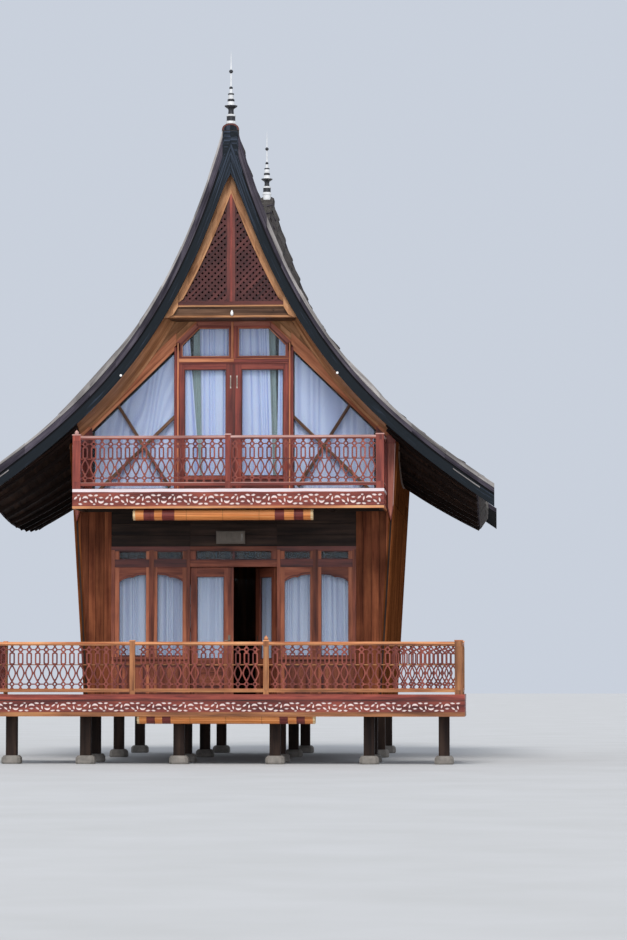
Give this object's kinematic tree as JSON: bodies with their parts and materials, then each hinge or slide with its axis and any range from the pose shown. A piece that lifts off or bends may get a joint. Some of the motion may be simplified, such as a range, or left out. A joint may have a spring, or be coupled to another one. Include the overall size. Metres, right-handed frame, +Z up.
{
  "type": "saddle-roofed timber stilt house",
  "caption": "Timber house on short posts with a steep saddle-backed roof, glazed gable over a balcony, veranda below, and a double entrance door.",
  "frame": {"origin": "centre of the plan at ground level, under the middle of the bounding box", "axes": "+Z up, +Y from the glazed front to the back, +X to the right seen from the front; X = 0 is the house's centre line"},
  "size_m": [8.88, 9.32, 12.05],
  "materials": {
    "red_wood": "varnished red-brown wood, half gloss",
    "golden_wood": "natural golden wood, satin",
    "brown_boards": "natural brown boards, satin",
    "dark_wood": "dark stained timber, matt",
    "barge_paint": "dark blue-black painted timber, weathered grey at the outer edge",
    "roof_cover": "dark palm-fibre thatch, matt",
    "clear_glass": "clear window glass",
    "white_curtain": "thin white woven curtain",
    "striped_blind": "rolled split-bamboo blind, orange with maroon bands",
    "finial_metal": "sheet metal in white and dark bands",
    "grey_plastic": "matt grey lamp box"
  },
  "bodies": {
    "house": {"balcony_deck": "dark_wood", "balcony_fascia": "red_wood", "balcony_rail_front": "red_wood", "balcony_rail_left": "red_wood", "balcony_rail_right": "red_wood", "barge_front_left": "barge_paint", "barge_front_right": "barge_paint", "barge_rear_left": "barge_paint", "barge_rear_right": "barge_paint", "blind_lower": "striped_blind", "blind_upper": "striped_blind", "collar_beam": "golden_wood", "door_head": "red_wood", "door_lamp_box": "grey_plastic", "finial_front": "finial_metal", "finial_rear": "finial_metal", "gable_board_left": "golden_wood", "gable_board_right": "golden_wood", "gable_door_frame": "red_wood", "gable_drop_board_left": "red_wood", "gable_drop_board_right": "red_wood", "gable_glass": "clear_glass", "gable_side_frame_left": "red_wood", "gable_side_frame_right": "red_wood", "gable_vent": "golden_wood", "lower_curtain_left": "white_curtain", "lower_curtain_right": "white_curtain", "lower_floor": "brown_boards", "lower_front_left": "red_wood", "lower_front_right": "red_wood", "lower_rear_wall": "brown_boards", "lower_window_glass": "clear_glass", "post_row_front": "dark_wood", "post_row_middle": "dark_wood", "post_row_rear": "dark_wood", "post_row_veranda": "dark_wood", "rear_gable_wall": "brown_boards", "rear_window_glass": "clear_glass", "ridge_cap": "roof_cover", "roof_left": "roof_cover", "roof_right": "roof_cover", "side_wall_left": "brown_boards", "side_wall_right": "brown_boards", "upper_curtain_left": "white_curtain", "upper_curtain_middle": "white_curtain", "upper_curtain_right": "white_curtain", "upper_door_left": "red_wood", "upper_door_right": "red_wood", "upper_floor": "brown_boards", "veranda_deck": "brown_boards", "veranda_fascia": "red_wood", "veranda_rail_front": "red_wood", "veranda_rail_left": "red_wood", "veranda_rail_right": "red_wood"},
    "door_left": {"door_left_frame": "red_wood", "door_left_glass": "clear_glass", "door_left_curtain": "white_curtain"},
    "door_right": {"door_right_frame": "red_wood", "door_right_glass": "clear_glass", "door_right_curtain": "white_curtain"}
  },
  "joints": [
    {"name": "left_door_hinge", "type": "hinge", "parent": "house", "child": "door_left", "pos_m": [-0.7375, -2.882, 2.2], "axis": [0, 0, 1], "range_deg": [0, 90]},
    {"name": "right_door_hinge", "type": "hinge", "parent": "house", "child": "door_right", "pos_m": [0.7375, -2.882, 2.2], "axis": [0, 0, -1], "range_deg": [-60, 30]}
  ]
}
